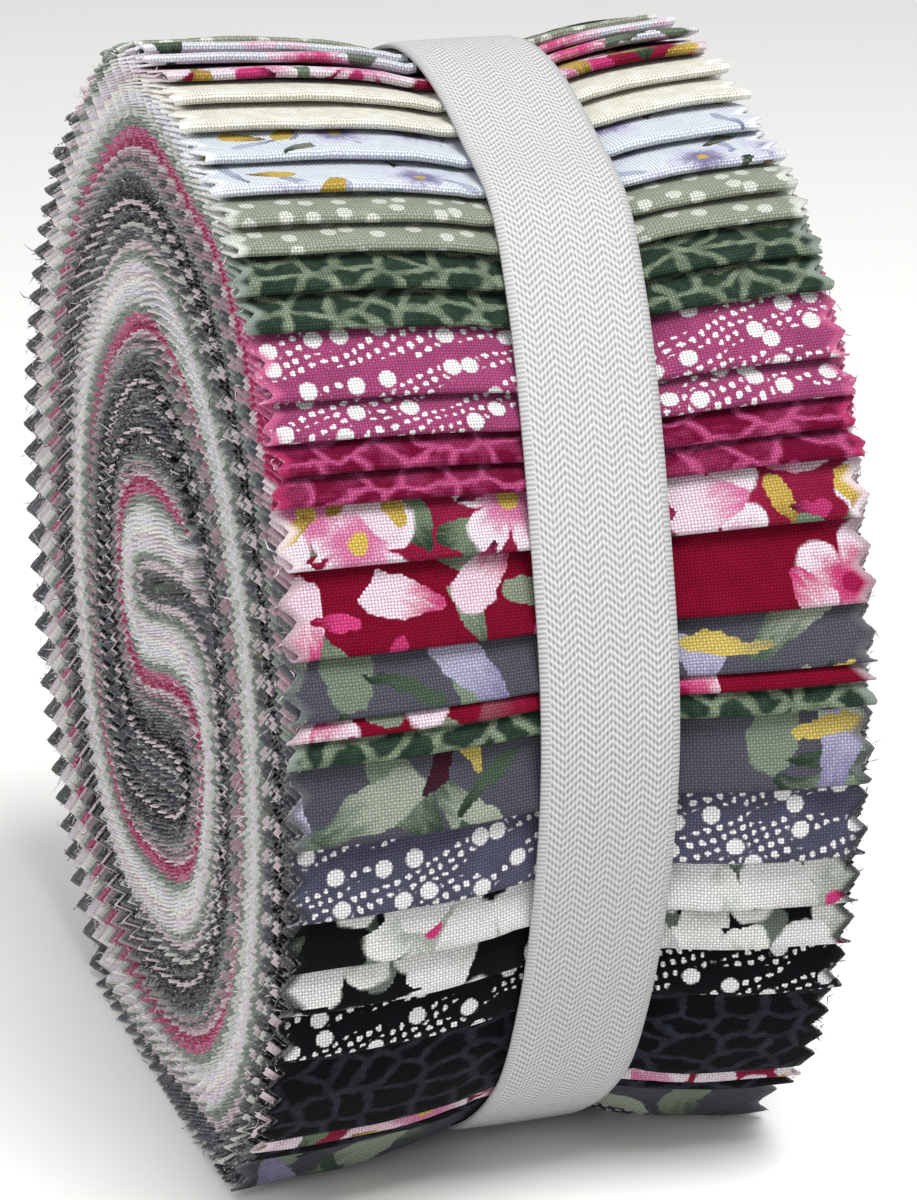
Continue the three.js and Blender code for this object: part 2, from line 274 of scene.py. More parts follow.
def toned(colour, share):
    """The colour, made lighter or darker."""
    return tuple(share * c for c in colour)


def smoothstep(value, low, high):
    """0 below low, 1 above high, smooth between."""
    share = np.clip((np.asarray(value, float) - low) / (high - low), 0, 1)
    return share * share * (3 - 2 * share)


def zone(value, start, full, fade, end):
    """1 from full to fade, 0 before start and after end, smooth between."""
    return smoothstep(value, start, full) * (1 - smoothstep(value, fade, end))


def lerp(low, high, share):
    """The value at this share of the way from low to high."""
    return low + (high - low) * share


def radius_through(table, angle):
    """A radius that runs smoothly round through the table's angles and radii."""
    turn = np.mod(angle, 360)
    angles, radii = np.array(table, float).T
    count = len(table)
    at = np.searchsorted(angles, turn, side="right") - 1

    def knot(step):
        i = at + step
        return angles[i % count] + 360 * (i // count), radii[i % count]

    (a0, r0), (a1, r1), (a2, r2), (a3, r3) = (knot(step) for step in (-1, 0, 1, 2))
    span = a2 - a1
    t = (turn - a1) / span
    leave = (r2 - r0) / (a2 - a0) * span
    arrive = (r3 - r1) / (a3 - a1) * span
    return (
        (2 * t**3 - 3 * t**2 + 1) * r1
        + (t**3 - 2 * t**2 + t) * leave
        + (3 * t**2 - 2 * t**3) * r2
        + (t**3 - t**2) * arrive
    )


def crest_radius(angle):
    """Distance from the centre of the winding to the folded ends, with the flat at the bottom."""
    radius = radius_through(OUTLINE, angle)
    down = -np.sin(np.radians(angle))
    flat = FLAT_DROP / np.maximum(down, FLAT_FROM)
    return np.where(down > FLAT_FROM, np.minimum(radius, flat), radius)


def strips_at(angle):
    """How many strips reach this angle, counting one in as its folded end comes near."""
    ends = np.concatenate([[FOLD_ANGLES[0] - 360], FOLD_ANGLES[::-1]])
    return np.interp(angle, ends, np.arange(STRIP_COUNT + 1))


def strips_over(place, angle):
    """How many strips lie over the strip at this place in the stack.

    Steps where several folds lie close together are bridged further in.
    """
    sharp = turns_over(place, angle)
    bridged = np.mean([turns_over(place, angle + aside) for aside in BRIDGED], axis=0)
    return lerp(sharp, bridged, smoothstep(sharp, *BRIDGED_DEPTHS))


def turns_over(place, angle):
    """The strips over this place in the stack, counted through all its turns."""
    return place - STRIP_COUNT + strips_at(angle) + strips_at(angle - 360) + strips_at(angle - 720)


def wound_radius(over, angle):
    """Distance from the centre to a surface that this many strips lie over."""
    turn = np.mod(angle + 180, 360) - 180
    lift = lerp(BACK_LIFT, FOLD_LIFT, zone(turn, *SPRUNG_ZONE))
    loaded = smoothstep(-np.sin(np.radians(turn)), LOADED_FROM, 1)
    thickness = lerp(STRIP_THICKNESS, PRESSED_THICKNESS, loaded)
    pressed_strips = np.minimum(over, PRESSED_STRIPS)
    packed = thickness * pressed_strips + STRIP_THICKNESS * (over - pressed_strips)
    inner = radius_through(INNER_OUTLINE, angle)
    outline = lerp(crest_radius(angle), inner, smoothstep(over, 2, ROUNDED_STRIPS))
    return outline - lift * (1 - np.exp(-over / LIFT_STRIPS)) - packed


def section_point(angle, radius):
    """The section point (y, z) at this angle and distance from the centre of the winding."""
    turn = np.radians(angle)
    return np.stack([-np.cos(turn) * radius, np.sin(turn) * radius], -1)


def tape_centre(angle):
    """The tape's centre along X: right of the middle, and further right across the top."""
    turn = np.mod(np.asarray(angle) + 180, 360) - 180
    return TAPE_ASIDE + TAPE_LEAN * zone(turn, *TAPE_LEAN_ZONE)


def cinch(x, angle, over):
    """How far the tape draws the cloth in at this place, in mm."""
    away = np.abs(x - tape_centre(angle)) - TAPE_WIDTH / 2 - CINCH_MARGIN
    near = np.exp(-np.maximum(away, 0) / CINCH_REACH)
    return CINCH_DEPTH * near * (1 - smoothstep(over, 0, CINCH_STRIPS))


def winding_centre():
    """Where the centre of the winding lies in the frame, in metres."""
    low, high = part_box("roll")
    around = np.arange(0, 360, 0.5)
    front = (section_point(around, crest_radius(around))[:, 0]).min() * MM
    return Vector(((low.x + high.x) / 2, low.y - front, low.z + FLAT_DROP * MM))


CENTRE = winding_centre()


def placed(x, section):
    """Points in the frame, in metres, from x and section points (y, z) in mm."""
    points = np.concatenate([np.asarray(x)[..., None], section], -1) * MM
    return points + np.array(CENTRE)


def wander(place, angle, seed):
    """A smooth wandering value from -1 to 1, alike for strips that lie near each other."""
    turn = np.radians(angle)
    waves = np.zeros_like(np.asarray(turn, float))
    for i, (along, across) in enumerate(WANDER_WAVES):
        waves = waves + np.sin(along * turn + across * place + 2.4 * seed + 1.7 * i) / (i + 1.5)
    return waves / 1.6


# The wound path of one strip


def smooth_line(knots, pieces=24):
    """Points on a smooth line through the knots, without its first and last stretch."""
    t = np.linspace(0, 1, pieces, endpoint=False)[:, None]
    points = []
    for a, b, c, d in zip(knots, knots[1:], knots[2:], knots[3:]):
        bend = 2 * a - 5 * b + 4 * c - d
        points.append(0.5 * (2 * b + (c - a) * t + bend * t**2 + (3 * b - a - 3 * c + d) * t**3))
    return np.vstack([*points, knots[-2][None]])


def lengths(points):
    """Distance along a line of points, from its first."""
    return np.concatenate([[0], np.cumsum(np.linalg.norm(np.diff(points, axis=0), axis=1))])


def evenly(points, step):
    """Points at even steps along a line."""
    along = lengths(points)
    at = np.linspace(0, along[-1], max(2, round(along[-1] / step)))
    return np.stack([np.interp(at, along, points[:, i]) for i in range(points.shape[1])], 1)


def normals(points):
    """Unit normals of a line in the section, to its left."""
    along = np.gradient(points, axis=0)
    along /= np.maximum(np.linalg.norm(along, axis=1), 1e-9)[:, None]
    return np.stack([-along[:, 1], along[:, 0]], 1)


def core_knots(place):
    """The stations of the S for one place in the stack, between the three that CORE names."""
    outer, middle, inner = np.array(CORE, float).transpose(1, 0, 2)
    if place < MIDDLE_STRIP:
        knots = lerp(outer, middle, place / MIDDLE_STRIP)
    else:
        knots = lerp(middle, inner, (place - MIDDLE_STRIP) / (STRIP_COUNT - 1 - MIDDLE_STRIP))
    return knots * (-1, 1)


def layer_path(place, depth):
    """One layer of a strip, from its fold inwards: points (y, z), angles and strips over it.

    depth is how far below the strip's outer surface the layer's middle lies, in strips.
    """
    angles = np.arange(FOLD_ANGLES[place], CORE_START + DENSE_STEP, DENSE_STEP)
    over = strips_over(place, angles) + depth
    turns = section_point(angles, wound_radius(over, angles))
    core = core_knots(place + depth - 0.5)
    lead = turns[[-1 - round(CORE_LEAD / DENSE_STEP), -1]]
    knots = np.vstack([lead, core, 2 * core[-1] - core[-2]])
    core = evenly(smooth_line(knots), DENSE_STEP)
    points = np.vstack([turns, core[1:]])
    angles = np.concatenate([angles, np.full(len(core) - 1, angles[-1])])
    over = np.concatenate([over, np.full(len(core) - 1, over[-1])])
    return points, angles, over


def pressed(section, over, near_tape):
    """Section points with the cloth near the floor pressed down by the roll's own weight."""
    height = section[..., 1] + FLAT_DROP
    depth = PRESS_DEPTH * (1 - near_tape)
    pressed_height = height - depth * (1 - smoothstep(height, PRESS_DEPTH, PRESS_FADE))
    least = LEAST_HEIGHT + LEAST_STEP * np.clip(over, 0, LEAST_STRIPS)
    height = np.where(height < PRESS_FADE, np.maximum(pressed_height, least), height)
    return np.stack([section[..., 0], height - FLAT_DROP], -1)


# Meshes


def zipper(first, second, v_first, v_second):
    """Triangles between two rows of points that have different numbers of columns."""
    faces = []
    i = j = 0
    while i + 1 < len(first) or j + 1 < len(second):
        last_i = i + 1 >= len(first)
        if last_i or (j + 1 < len(second) and v_second[j + 1] < v_first[i + 1]):
            faces.append((first[i], second[j + 1], second[j]))
            j += 1
        else:
            faces.append((first[i], first[i + 1], second[j]))
            i += 1
    return faces


def columns_for(kind):
    """Places across the cloth, in mm, between its two pinked edges."""
    if kind == 0:
        return np.zeros(0)
    count = SOFT_COLUMNS if kind == 1 else FINE_COLUMNS
    return np.linspace(-INNER_EDGE, INNER_EDGE, count)


def tooth_depth(phase, depth):
    """How far the pinked edge is cut in at this count of teeth, in mm: worn teeth are rounded."""
    saw = np.abs(2 * (phase - np.floor(phase)) - 1)
    return depth * lerp(saw, smoothstep(saw, 0, 1), TOOTH_WEAR)


def layer_rows(place, layer, sizes):
    """Rows of one layer, from the fold inwards, a row at least at each tip and root of a tooth."""
    depth = LAYER_DEPTHS[layer]
    points, angles, over = layer_path(place, depth)
    along = lengths(points)
    half_tooth = sizes.tooth_pitch / MM / 2
    # Teeth of strips that lie on each other nearly line up at the back of the roll.
    level = np.interp(180 if FOLD_ANGLES[place] < 180 else 540, angles, along)
    wandering = TOOTH_WANDER * wander(place, 40 * layer, 3)
    slip = wandering + TOOTH_SLIP * math.sin(7.1 * place + 3 * layer)
    shift = math.fmod(level + slip, 2 * half_tooth)
    first = math.ceil(-shift / half_tooth)
    last = math.floor((HALF_LENGTH - shift) / half_tooth)
    at = shift + half_tooth * np.arange(first, last + 1)
    at = at[(at > END_GAPS[0]) & (at < HALF_LENGTH - END_GAPS[1])]
    limit = SHOWN_DEPTHS[layer] + depth
    shown = np.interp(at, along, over) < limit
    ends = np.concatenate([[0.0], at])
    stops = [ends[0]]
    for i in range(len(at)):
        pieces = FINE_ROWS if shown[i] else 1
        stops.extend(lerp(ends[i], ends[i + 1], (j + 1) / pieces) for j in range(pieces))
    stops = np.array([*stops, HALF_LENGTH])
    row_over = np.interp(stops, along, over)
    section = np.stack([np.interp(stops, along, points[:, i]) for i in range(2)], 1)
    if layer == 0:
        rise = FOLD_RISE * np.exp(-((stops / FOLD_REACH) ** 2))
        section *= 1 + (rise / np.linalg.norm(section, axis=1))[:, None]
    return {
        "section": section,
        "angle": np.interp(stops, along, angles),
        "over": row_over,
        "teeth": (stops - shift) / (2 * half_tooth),
        "kind": np.where(row_over < limit, 2, np.where(row_over < CINCH_STRIPS, 1, 0)),
    }


def hairpin_rows(outer, inner):
    """Rows round the fold, from the outer layer's first row to the inner layer's."""
    top, bottom = outer["section"][0], inner["section"][0]
    middle, reach = (top + bottom) / 2, np.linalg.norm(top - bottom) / 2
    up = (top - bottom) / (2 * reach)
    ahead = np.array([-up[1], up[0]])
    if np.dot(ahead, outer["section"][1] - outer["section"][0]) > 0:
        ahead = -ahead
    share = np.linspace(0, 1, HAIRPIN_ROWS + 2)[1:-1]
    turn = (math.pi / 2 - math.pi * share)[:, None]
    section = middle + reach * (up * np.sin(turn) + ahead * HAIRPIN_REACH * np.cos(turn))
    rows = {key: lerp(outer[key][0], inner[key][0], share) for key in ("angle", "over", "teeth")}
    return {**rows, "section": section, "kind": np.full(HAIRPIN_ROWS, 2)}


def strip_mesh(place, sizes):
    """The mesh of one folded strip: a thin closed body with pinked edges."""
    outer, inner = (layer_rows(place, layer, sizes) for layer in (0, 1))
    fold = hairpin_rows(outer, inner)
    rows = {key: np.concatenate([outer[key][::-1], fold[key], inner[key]]) for key in outer}
    section, angle, over, kind = (rows[key] for key in ("section", "angle", "over", "kind"))
    # The print runs on round the fold: distance along the cloth, zero at the fold.
    along = lengths(section)
    along = along - along[len(outer["teeth"]) + HAIRPIN_ROWS // 2]
    across = normals(section)
    outside = len(outer["teeth"]) // 2
    if np.dot(across[outside], section[outside]) < 0:
        across = -across
    cut = tooth_depth(rows["teeth"], sizes.tooth_depth / MM)
    sideways = edge_offset(place, angle)

    v_rows, points_right, points_wrong, uvs, teeth = [], [], [], [], []
    for i in range(len(section)):
        edge = HALF_WIDTH - cut[i]
        v = np.concatenate([[-edge], columns_for(kind[i]), [edge]])
        x = v + sideways[i]
        centre = shaped(place, x, section[i], angle[i], over[i], kind[i])
        for target, side in ((points_right, 1), (points_wrong, -1)):
            target.append(placed(x, centre + side * CLOTH_THICKNESS / 2 * across[i]))
        uvs.append(np.stack([np.full(len(v), along[i]), v], 1))
        teeth.append(np.full(len(v), rows["teeth"][i]))
        v_rows.append(v)
    sides, rim = band_faces(v_rows)
    return {
        "points": np.vstack([*points_right, *points_wrong]),
        "sides": sides,
        "rim": rim,
        "uv": np.vstack(uvs * 2),
        "floats": {"teeth": np.concatenate(teeth * 2)},
    }


def edge_offset(place, angle):
    """How far a strip stands out of the roll sideways, in mm: strips never lie quite flush."""
    own = sum(height * math.sin(rate * place + start) for height, rate, start in END_SHIFTS)
    from_end = min(place, STRIP_COUNT - 1 - place)
    recess = END_RECESS * math.exp(-from_end / RECESS_STRIPS)
    aside = own + END_WANDER * wander(place, angle, 1)
    return aside - recess * np.sin(np.radians(angle) * 0.5 + place)


def shaped(place, x, section, angle, over, kind):
    """Where a row's points lie in the section once the tape and the floor have pressed on it."""
    pull = cinch(x, angle, over)
    radial = section / np.linalg.norm(section)
    if kind == 2:
        pull = pull - creases(place, x, angle, over)
    points = section - pull[:, None] * radial
    return pressed(points, over, pull / CINCH_DEPTH)


def creases(place, x, angle, over):
    """Small waves of the cloth where it shows, in mm outwards."""

    def wave(height, rate, shift):
        return height * np.sin(rate * x + shift * place)

    belly = BELLY * math.sin(math.pi * min(1.0, max(0.0, over)))
    tape_side = np.abs(x - tape_centre(angle)) - TAPE_WIDTH / 2
    gathers = np.exp(-np.maximum(tape_side, 0) / GATHER_REACH) * wave(*GATHERS)
    fade = np.exp(-over * CREASE_FADE)
    return (sum(wave(*crease) for crease in CREASES) + gathers) * fade + belly


def band_faces(v_rows):
    """Faces of a thin band of cloth from its rows of columns: its two sides, and all its edges.

    The points of the wrong side follow those of the right side in the same order.
    """
    counts = [len(row) for row in v_rows]
    starts = np.cumsum([0, *counts]).tolist()
    total = starts.pop()
    right, rim = [], []
    for a, b, v_first, v_second in zip(starts, starts[1:], v_rows, v_rows[1:]):
        c, d = a + len(v_first) - 1, b + len(v_second) - 1
        if len(v_first) == len(v_second):
            right.extend((a + j, a + j + 1, b + j + 1, b + j) for j in range(c - a))
        else:
            right.extend(zipper(range(a, c + 1), range(b, d + 1), v_first, v_second))
        rim.append((a, b, b + total, a + total))
        rim.append((d, c, c + total, d + total))
    wrong = [tuple(total + p for p in reversed(face)) for face in right]
    for row, turned in ((0, True), (len(starts) - 1, False)):
        for j in range(starts[row], starts[row] + counts[row] - 1):
            face = (j, j + total, j + 1 + total, j + 1)
            rim.append(face[::-1] if turned else face)
    return right + wrong, rim


def mesh_object(name, points, sides, rim=(), uv=None, floats=None, colours=None):
    """A new object from points and faces; faces of the rim are flat, all others smooth."""
    mesh = bpy.data.meshes.new(name)
    faces = [*sides, *rim]
    mesh.from_pydata(points.tolist(), [], faces)
    smooth = np.ones(len(faces), bool)
    smooth[len(sides) :] = False
    mesh.polygons.foreach_set("use_smooth", smooth)
    if uv is not None:
        layer = mesh.uv_layers.new(name="cloth")
        corner = np.zeros(len(mesh.loops), np.int32)
        mesh.loops.foreach_get("vertex_index", corner)
        layer.data.foreach_set("uv", (uv[corner] * MM).astype(np.float32).ravel())
    for key, values in (floats or {}).items():
        attribute = mesh.attributes.new(key, "FLOAT", "POINT")
        attribute.data.foreach_set("value", values.astype(np.float32))
    for key, values in (colours or {}).items():
        attribute = mesh.attributes.new(key, "FLOAT_COLOR", "POINT")
        attribute.data.foreach_set("color", values.astype(np.float32).ravel())
    mesh.update()
    made = bpy.data.objects.new(name, mesh)
    bpy.context.scene.collection.objects.link(made)
    return made


# Node helper


class Shade:
    """A material's nodes, added and wired by short calls. Numbers may stand in for sockets."""

    def __init__(self, name, roughness, sheen=0.0, specular=0.5):
        self.material = bpy.data.materials.new(name)
        self.material.use_nodes = True
        self.tree = self.material.node_tree
        self.shader = self.tree.nodes["Principled BSDF"]
        self.shader.inputs["Roughness"].default_value = roughness
        self.shader.inputs["Sheen Weight"].default_value = sheen
        self.shader.inputs["Sheen Roughness"].default_value = 0.5
        self.shader.inputs["Specular IOR Level"].default_value = specular

    def node(self, kind, inputs=(), **settings):
        made = self.tree.nodes.new("ShaderNode" + kind)
        for key, value in settings.items():
            setattr(made, key, value)
        for key, value in dict(inputs).items():
            self.put(made.inputs[key], value)
        return made

    def put(self, socket, value):
        if isinstance(value, bpy.types.NodeSocket):
            self.tree.links.new(value, socket)
        elif socket.type == "RGBA":
            socket.default_value = (*value, 1.0)
        else:
            socket.default_value = value

    def maths(self, operation, *values):
        made = self.node("Math", operation=operation)
        for socket, value in zip(made.inputs, values):
            self.put(socket, value)
        return made.outputs[0]

    def vector(self, operation, first, second=(0, 0, 0), scale=None):
        made = self.node("VectorMath", operation=operation)
        self.put(made.inputs[0], first)
        self.put(made.inputs[1], second)
        if scale is not None:
            self.put(made.inputs["Scale"], scale)
        return made.outputs["Vector"]

    def step(self, value, low, high):
        """0 below low, 1 above high, smooth between; the other way round if low is above high."""
        made = self.node("MapRange", interpolation_type="SMOOTHSTEP")
        for key, number in (("Value", value), ("From Min", low), ("From Max", high)):
            self.put(made.inputs[key], number)
        return made.outputs["Result"]

    def mix(self, share, low, high):
        made = self.node("Mix", data_type="RGBA")
        sockets = [s for s in made.inputs if s.enabled]
        for socket, value in zip(sockets, (share, low, high)):
            self.put(socket, value)
        return next(s for s in made.outputs if s.enabled)

    def noise(self, vector, scale, detail=2.0, roughness=0.5):
        made = self.node("TexNoise", {"Vector": vector, "Scale": scale, "Detail": detail})
        made.inputs["Roughness"].default_value = roughness
        return made.outputs["Fac"]

    def cells(self, vector, jitter, feature="F1"):
        made = self.node("TexVoronoi", {"Vector": vector, "Scale": 1.0}, feature=feature)
        made.voronoi_dimensions = "2D"
        made.inputs["Randomness"].default_value = jitter
        return made

    def parts(self, vector):
        made = self.node("SeparateXYZ", {"Vector": vector})
        return made.outputs["X"], made.outputs["Y"]

    def turned(self, vector, angle):
        made = self.node("VectorRotate", {"Vector": vector, "Angle": angle}, rotation_type="Z_AXIS")
        return made.outputs["Vector"]

    def woven_finish(self, colour, height, strength, depth):
        """Join the colour and a bump to the shader; depth is how far the bump reaches, in mm."""
        self.put(self.shader.inputs["Base Color"], colour)
        settings = {"Height": height, "Strength": strength, "Distance": depth * MM}
        bump = self.node("Bump", settings)
        self.put(self.shader.inputs["Normal"], bump.outputs["Normal"])


# Prints. Places on the cloth are in mm.


def cloth_place(shade):
    """The place on the cloth, in mm along and across it, as a vector."""
    uv = shade.node("UVMap", uv_map="cloth").outputs["UV"]
    return shade.vector("SCALE", uv, scale=1 / MM)


def shifted(shade, place):
    """The place on the print: each strip is cut from its own part of the cloth."""
    info = shade.node("Attribute", attribute_name="cut_from", attribute_type="OBJECT")
    return shade.vector("ADD", place, info.outputs["Vector"])


def brushed(shade, place, amount, scale=0.45):
    """The place, bent about by up to this many mm, so that outlines look painted."""
    bend = shade.node("TexNoise", {"Vector": place, "Scale": scale, "Detail": 2.0})
    aside = shade.vector("SUBTRACT", bend.outputs["Color"], (0.5, 0.5, 0.5))
    return shade.vector("ADD", place, shade.vector("SCALE", aside, scale=2 * amount))


def motif_cells(shade, place, size, seed, jitter=0.9):
    """One motif to a cell, turned its own way: the place within it, and two random numbers."""
    moved = shade.vector("ADD", shade.vector("SCALE", place, scale=1 / size), (seed, 2 * seed, 0))
    cell = shade.cells(moved, jitter)
    inside = shade.vector("SUBTRACT", moved, cell.outputs["Position"])
    chance = shade.node("SeparateColor", {"Color": cell.outputs["Color"]})
    turn = shade.maths("MULTIPLY", chance.outputs["Red"], TURN)
    return shade.turned(inside, turn), chance.outputs["Green"], chance.outputs["Blue"]


def in_share(shade, mask, chance, share):
    """The mask, kept only in this share of the cells."""
    return shade.maths("MULTIPLY", mask, shade.step(chance, 1 - share, 1.02 - share))


PETAL_REACH = 0.52  # of a cell


def petals(shade, place, colour, size, seed, tip, base, share=1.0, wide=0.3):
    """Brushed petals, leaves or dabs laid over a colour, one to a cell, darker at the base."""
    inside, chance, tone = motif_cells(shade, place, size, seed)
    x, y = shade.parts(inside)
    along = shade.maths("DIVIDE", x, PETAL_REACH)
    room = shade.maths("MULTIPLY_ADD", along, 0.4 * wide, wide)
    across = shade.maths("DIVIDE", y, room)
    squares = (shade.maths("MULTIPLY", part, part) for part in (along, across))
    mask = shade.step(shade.maths("ADD", *squares), 1.07, 0.93)
    mask = in_share(shade, mask, chance, share)
    streaks = shade.noise(shade.vector("MULTIPLY", inside, (2.4, 15, 0)), 1.0, 2.0)
    painted = shade.maths("MULTIPLY_ADD", streaks, 1.5, along)
    shaded = shade.mix(shade.step(painted, -0.2, 0.9), base, tip)
    shaded = shade.mix(shade.maths("MULTIPLY", tone, 0.3), shaded, base)
    return shade.mix(mask, colour, shaded)


def flowers(shade, place, colour, size, seed, tip, base, heart, share=1.0):
    """Open flowers of five petals laid over a colour, one to a cell."""
    inside, chance, _ = motif_cells(shade, place, size, seed, 0.75)
    x, y = shade.parts(inside)
    squares = (shade.maths("MULTIPLY", part, part) for part in (x, y))
    away = shade.maths("SQRT", shade.maths("ADD", *squares))
    angle = shade.maths("ARCTAN2", y, x)
    petal = shade.maths("ABSOLUTE", shade.maths("COSINE", shade.maths("MULTIPLY", angle, 2.5)))
    reach = shade.maths("MULTIPLY_ADD", shade.maths("POWER", petal, 0.45), 0.32, 0.2)
    out = shade.maths("DIVIDE", away, reach)
    mask = in_share(shade, shade.step(out, 1.05, 0.95), chance, share)
    streaks = shade.noise(shade.vector("SCALE", inside, scale=9.0), 1.0, 2.0)
    painted = shade.maths("MULTIPLY_ADD", streaks, 0.6, out)
    shaded = shade.mix(shade.step(painted, 0.55, 1.15), base, tip)
    gap = shade.maths("MULTIPLY", shade.step(petal, 0.3, 0.1), 0.75)
    shaded = shade.mix(gap, shaded, base)
    return shade.mix(mask, colour, shade.mix(shade.step(away, 0.1, 0.07), shaded, heart))


def dots(shade, place, size, radius, jitter):
    """Mask of round dots, one to a cell."""
    scaled = shade.vector("SCALE", place, scale=1 / size)
    away = shade.cells(scaled, jitter).outputs["Distance"]
    edge = radius / size
    return shade.step(away, edge * 1.12, edge * 0.88)


def spotted(shade, place, ground, light):
    """Round dots of two sizes: large ones scattered, small ones in curved trails between them."""
    large = dots(shade, place, 4.6, 0.95, 0.85)
    clear = dots(shade, place, 4.6, 1.35, 0.85)
    turned = shade.turned(brushed(shade, place, 2.4, 0.07), 1.2)
    small = dots(shade, turned, 1.2, 0.34, 0.1)
    bands = shade.noise(shade.vector("MULTIPLY", turned, (0.09, 0.4, 0)), 1.0, 0.0)
    small = shade.maths("MULTIPLY", small, shade.step(bands, 0.46, 0.48))
    small = shade.maths("MULTIPLY", small, shade.maths("SUBTRACT", 1.0, clear))
    mottle = shade.step(shade.noise(place, 0.25), 0.35, 0.7)
    base = shade.mix(mottle, ground, toned(ground, 0.8))
    return shade.mix(shade.maths("MAXIMUM", large, small), base, light)


def crackled(shade, place, ground, vein, size=3.0, width=0.2):
    """Rounded dark patches with softer, lighter lines between them."""
    moved = brushed(shade, place, 1.1, 0.35)
    scaled = shade.vector("MULTIPLY", moved, (1 / size, 0.72 / size, 0))
    edge = shade.cells(scaled, 0.9, "DISTANCE_TO_EDGE").outputs["Distance"]
    line = shade.step(edge, width, width * 0.25)
    shine = shade.step(shade.noise(place, 0.5), 0.3, 0.7)
    cloud = shade.step(shade.noise(place, 0.9), 0.3, 0.8)
    patch = shade.mix(cloud, ground, toned(ground, 1.7))
    return shade.mix(line, patch, shade.mix(shine, vein, toned(vein, 0.55)))


def mottled(shade, place, dark, light):
    """Soft cloud of two tones with faint branching lines."""
    cloud = shade.noise(shade.vector("MULTIPLY", place, (0.3, 0.2, 0)), 1.0, 3.0, 0.6)
    moved = brushed(shade, place, 1.6, 0.3)
    scaled = shade.vector("MULTIPLY", moved, (0.3, 0.19, 0))
    edge = shade.cells(scaled, 1.0, "DISTANCE_TO_EDGE").outputs["Distance"]
    middle = tuple(lerp(d, c, 0.3) for d, c in zip(dark, light))
    tone = shade.mix(shade.step(cloud, 0.42, 0.62), dark, middle)
    return shade.mix(shade.step(edge, 0.16, 0.0), tone, light)


WHITE = linear(232, 230, 231)
YELLOW = linear(198, 170, 84)
ROSE = linear(198, 62, 118)
CRIMSON = linear(128, 12, 46)
DEEP_GREEN = linear(44, 60, 46)
LILAC = linear(128, 124, 158)
MAROON = linear(70, 26, 40)


def print_cream(shade, place):
    tone = shade.step(shade.noise(place, 0.45, 3.0), 0.45, 0.6)
    return shade.mix(tone, linear(224, 222, 206), linear(234, 233, 222))


def print_blue_floral(shade, place):
    place = brushed(shade, place, 0.5)
    ground = shade.mix(shade.noise(place, 0.2), linear(198, 208, 222), linear(224, 229, 234))
    inked = petals(shade, place, ground, 6, 1.3, linear(178, 186, 206), linear(120, 120, 146), 0.5, 0.1)
    inked = petals(shade, place, inked, 5, 2.2, linear(128, 134, 120), DEEP_GREEN, 0.2, 0.16)
    tip, base = linear(206, 208, 226), linear(128, 122, 158)
    inked = flowers(shade, place, inked, 8, 4.1, tip, base, YELLOW, 0.5)
    return petals(shade, place, inked, 5, 7.7, YELLOW, linear(120, 96, 56), 0.2, 0.2)


def print_sage_dots(shade, place):
    ground = shade.mix(shade.noise(place, 0.3), linear(132, 138, 122), linear(158, 164, 148))
    return shade.mix(dots(shade, place, 3.2, 0.8, 0.7), ground, linear(204, 208, 198))


def print_green_crackle(shade, place):
    return crackled(shade, place, linear(40, 55, 45), linear(128, 143, 120))


def print_pink_dots(shade, place):
    return spotted(shade, place, linear(158, 72, 114), WHITE)


def print_crimson(shade, place):
    return mottled(shade, place, linear(108, 12, 50), linear(180, 78, 124))


def print_blush_floral(shade, place):
    place = brushed(shade, place, 0.7)
    ground = shade.mix(shade.noise(place, 0.25), linear(112, 10, 38), linear(150, 40, 74))
    tip, base = linear(226, 212, 221), linear(200, 114, 154)
    inked = petals(shade, place, ground, 6, 2.9, linear(112, 126, 104), DEEP_GREEN, 0.8)
    inked = flowers(shade, place, inked, 13, 5.3, tip, base, YELLOW)
    inked = petals(shade, place, inked, 9, 8.8, tip, base, 0.6, 0.34)
    inked = petals(shade, place, inked, 6, 1.7, YELLOW, linear(140, 110, 60), 0.4, 0.2)
    return petals(shade, place, inked, 5, 6.6, ROSE, MAROON, 0.16, 0.16)


def print_tulip_floral(shade, place):
    place = brushed(shade, place, 0.6)
    ground = shade.mix(shade.noise(place, 0.3), linear(108, 8, 34), linear(128, 16, 48))
    tip, base = linear(228, 206, 218), linear(188, 66, 114)
    inked = petals(shade, place, ground, 8, 3.7, linear(132, 142, 122), linear(84, 96, 80), 0.45, 0.16)
    inked = flowers(shade, place, inked, 12.5, 1.9, tip, base, linear(150, 30, 74), 0.45)
    inked = petals(shade, place, inked, 9, 6.1, tip, base, 0.35, 0.24)
    return petals(shade, place, inked, 5, 8.4, ROSE, CRIMSON, 0.2, 0.18)


def print_slate_leaf(shade, place):
    place = brushed(shade, brushed(shade, place, 1.6, 0.2), 0.35, 1.3)
    ground = shade.mix(shade.noise(place, 0.12), linear(74, 74, 85), linear(86, 86, 95))
    pale, green = linear(172, 180, 164), linear(74, 90, 76)
    inked = petals(shade, place, ground, 12, 2.2, linear(128, 142, 124), linear(48, 62, 52), 0.7, 0.2)
    inked = petals(shade, place, inked, 13, 5.9, pale, green, 0.6, 0.18)
    inked = petals(shade, place, inked, 9, 4.4, green, DEEP_GREEN, 0.4, 0.1)
    inked = petals(shade, place, inked, 12, 9.4, linear(168, 166, 190), LILAC, 0.25, 0.2)
    inked = petals(shade, place, inked, 10, 3.1, linear(200, 178, 96), linear(150, 140, 96), 0.16, 0.1)
    return petals(shade, place, inked, 11, 7.2, MAROON, linear(56, 34, 44), 0.14, 0.1)


def print_slate_dots(shade, place):
    return spotted(shade, place, linear(84, 84, 104), WHITE)


